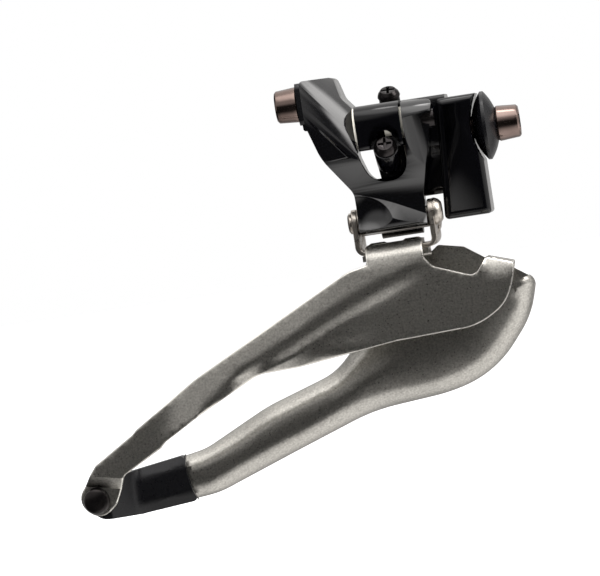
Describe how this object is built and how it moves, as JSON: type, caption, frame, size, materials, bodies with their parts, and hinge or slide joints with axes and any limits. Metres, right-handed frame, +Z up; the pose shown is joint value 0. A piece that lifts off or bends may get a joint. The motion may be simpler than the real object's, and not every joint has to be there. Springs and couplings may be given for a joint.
{
  "type": "front derailleur",
  "caption": "Hanger mounted front derailleur with a forged fork link, a pressed chain cage and a sprung parallelogram.",
  "frame": {"origin": "where the fixing bolt axis meets the bottom of the curved saddle", "axes": "+X forward along the pivots and bolts, +Y inboard to the seat tube, +Z up the seat tube"},
  "size_m": [0.1062, 0.0249, 0.0884],
  "materials": {
    "black_anodised": "polished black anodised",
    "black_satin": "satin black anodised",
    "bronze_bolt": "bronze anodised, satin",
    "black_washer": "satin black",
    "steel_pin": "bright steel",
    "cream_bush": "cream moulded",
    "black_screw": "black oxide steel",
    "spring_steel": "spring wire",
    "stainless": "stainless sheet",
    "cage_metal": "satin grey sheet",
    "black_plastic": "moulded, satin",
    "brass_insert": "machined"
  },
  "bodies": {
    "base": {"mount_body": "black_anodised", "fixing_bolt": "bronze_bolt", "fixing_washer": "black_washer", "upper_bushes": "cream_bush", "upper_inner_pin": "steel_pin", "return_spring": "spring_steel", "spring_sleeve": "cream_bush"},
    "outer_link": {"outer_link": "black_anodised", "upper_outer_pin": "steel_pin", "cable_anchor_bolt": "bronze_bolt", "cable_anchor_washer": "black_washer"},
    "inner_link": {"inner_link": "black_satin"},
    "cage": {"cage_bracket": "stainless", "cage_rivets": "stainless", "outer_cage_plate": "cage_metal", "inner_cage_plate": "cage_metal", "nose_rivet": "stainless", "tail_spacer": "black_plastic", "tail_screw": "black_screw", "tail_insert": "brass_insert", "lower_outer_pin": "steel_pin", "lower_inner_pin": "steel_pin", "pivot_washers": "stainless", "pivot_sleeves": "stainless"},
    "high_screw": {"high_limit_screw": "black_screw"},
    "low_screw": {"low_limit_screw": "black_screw"}
  },
  "joints": [
    {"name": "outer_swing", "type": "hinge", "parent": "base", "child": "outer_link", "pos_m": [-0.019, -0.012, 0.0033], "axis": [-1, 0, 0], "range_deg": [0, 35], "stiffness_Nm_per_rad": 0.3, "springref_deg": -28.65},
    {"name": "inner_swing", "type": "hinge", "parent": "base", "child": "inner_link", "pos_m": [-0.017, -0.0025, 0.0021], "axis": [-1, 0, 0], "range_deg": [0, 35], "deforming": ["return_spring"]},
    {"name": "cage_pivot", "type": "hinge", "parent": "outer_link", "child": "cage", "pos_m": [-0.0198, -0.00849, -0.0168], "axis": [-1, 0, 0], "range_deg": [-35, 0]},
    {"name": "high_screw_travel", "type": "slide", "parent": "base", "child": "high_screw", "axis": [0, -0.8192, 0.5736], "range_m": [0, 0.0015]},
    {"name": "low_screw_travel", "type": "slide", "parent": "base", "child": "low_screw", "axis": [0, -0.5, 0.866], "range_m": [0, 0.0015]}
  ],
  "couplings": [
    {"joint": "inner_swing", "follows": "outer_swing", "ratio": 1},
    {"joint": "cage_pivot", "follows": "outer_swing", "ratio": -1}
  ]
}
